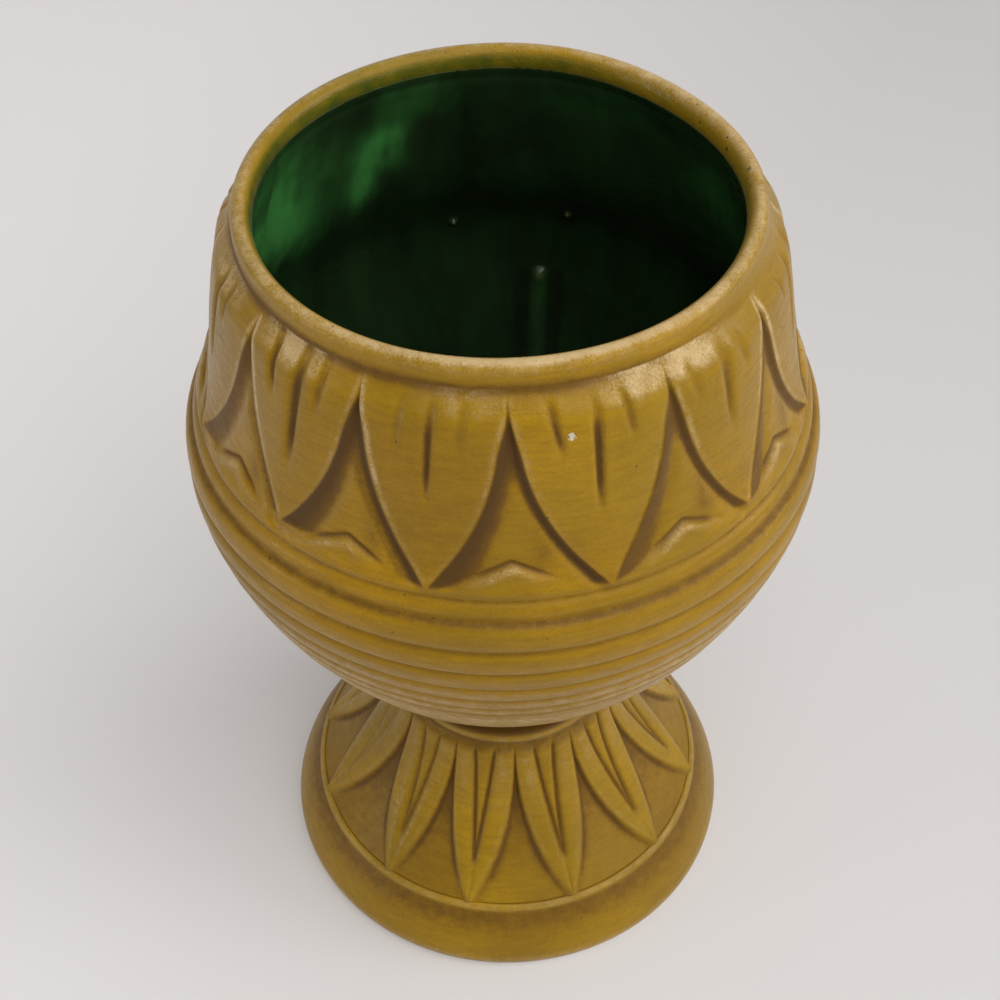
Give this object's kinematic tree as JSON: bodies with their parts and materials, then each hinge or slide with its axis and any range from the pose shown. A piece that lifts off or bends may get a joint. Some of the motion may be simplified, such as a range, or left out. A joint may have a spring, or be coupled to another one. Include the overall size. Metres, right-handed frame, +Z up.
{
  "type": "goblet vase",
  "caption": "Ceramic goblet vase with an open bowl carved with petals and turned rings, on a narrow neck and a flared hollow foot with leaves.",
  "frame": {"origin": "middle of the flat ring under the foot, on the table", "axes": "+Z up along the vase's axis, -Y towards the picture's camera, +X to its right"},
  "size_m": [0.1538, 0.1538, 0.229],
  "materials": {
    "mustard_ceramic": "satin mustard yellow over a brown wash that stays in the recesses",
    "green_glaze": "deep green gloss glaze"
  },
  "bodies": {
    "root": {"bowl": "mustard_ceramic", "foot": "mustard_ceramic", "neck_ring": "mustard_ceramic", "inner_glaze": "green_glaze"}
  },
  "joints": []
}
